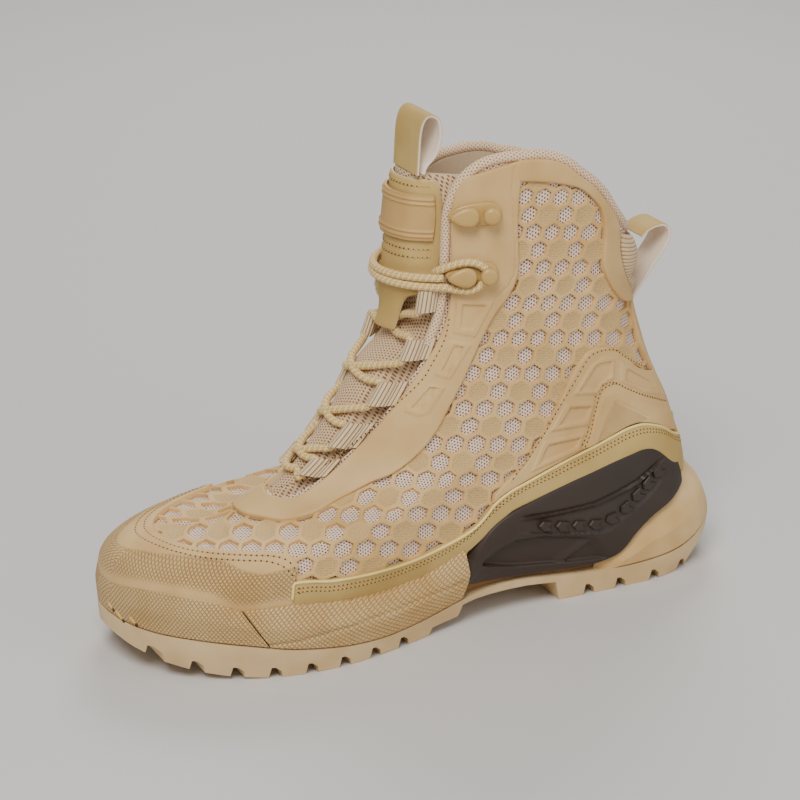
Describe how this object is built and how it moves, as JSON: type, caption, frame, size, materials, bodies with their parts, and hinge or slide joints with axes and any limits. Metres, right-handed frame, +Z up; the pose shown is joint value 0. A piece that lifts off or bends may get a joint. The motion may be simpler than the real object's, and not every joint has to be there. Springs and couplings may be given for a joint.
{
  "type": "hiking boot",
  "caption": "Ankle-high lace-up hiking boot with a hollow last-shaped upper, rubber toe and heel, lugged sole, padded tongue, hooks and pull tabs.",
  "frame": {"origin": "centre of the bounding box seen from above, on the floor under the sole", "axes": "+Z up, toe toward -Y, outer side of the left foot toward +X"},
  "size_m": [0.112, 0.3056, 0.2346],
  "materials": {
    "tread_rubber": "matte moulded rubber, pale tan",
    "side_rubber": "matte rubber with a fine cross-hatched grain",
    "midsole_foam": "matte foam, warm brown underneath",
    "clip_plastic": "satin moulded plastic, dark brown",
    "footbed_cloth": "felted cloth",
    "upper_mesh": "knitted mesh",
    "tan_overlay": "smooth moulded synthetic leather, tan",
    "khaki_overlay": "soft synthetic leather, khaki",
    "collar_knit": "ribbed knit",
    "webbing": "ribbed webbing",
    "hook_metal": "satin paint, tan",
    "lace_cord": "round braided cord, cream"
  },
  "bodies": {
    "root": {"outsole": "tread_rubber", "midsole": "midsole_foam", "toe_bumper": "side_rubber", "side_foxing_outer": "side_rubber", "side_foxing_inner": "side_rubber", "shank_clip_outer": "clip_plastic", "shank_clip_inner": "clip_plastic", "heel_cup": "tread_rubber", "insole": "footbed_cloth", "upper": "upper_mesh", "tongue": "upper_mesh", "toe_cap": "tan_overlay", "mudguard": "khaki_overlay", "heel_counter_outer": "tan_overlay", "heel_counter_inner": "tan_overlay", "back_stay": "tan_overlay", "eyestay": "tan_overlay", "collar_overlay_outer": "tan_overlay", "collar_overlay_inner": "tan_overlay", "collar_bellows": "collar_knit", "collar_binding": "collar_knit", "tongue_strap": "khaki_overlay", "tongue_badge": "tan_overlay", "tongue_pull": "khaki_overlay", "heel_pull": "khaki_overlay", "lace_loop_outer_1": "webbing", "lace_loop_outer_2": "webbing", "lace_loop_outer_3": "webbing", "lace_loop_outer_4": "webbing", "lace_loop_outer_5": "webbing", "lace_loop_inner_1": "webbing", "lace_loop_inner_2": "webbing", "lace_loop_inner_3": "webbing", "lace_loop_inner_4": "webbing", "lace_loop_inner_5": "webbing", "speed_hook_outer_lower": "hook_metal", "speed_hook_outer_upper": "hook_metal", "speed_hook_inner_lower": "hook_metal", "speed_hook_inner_upper": "hook_metal", "lace_crossings": "lace_cord", "lace_turns": "lace_cord"}
  },
  "joints": []
}
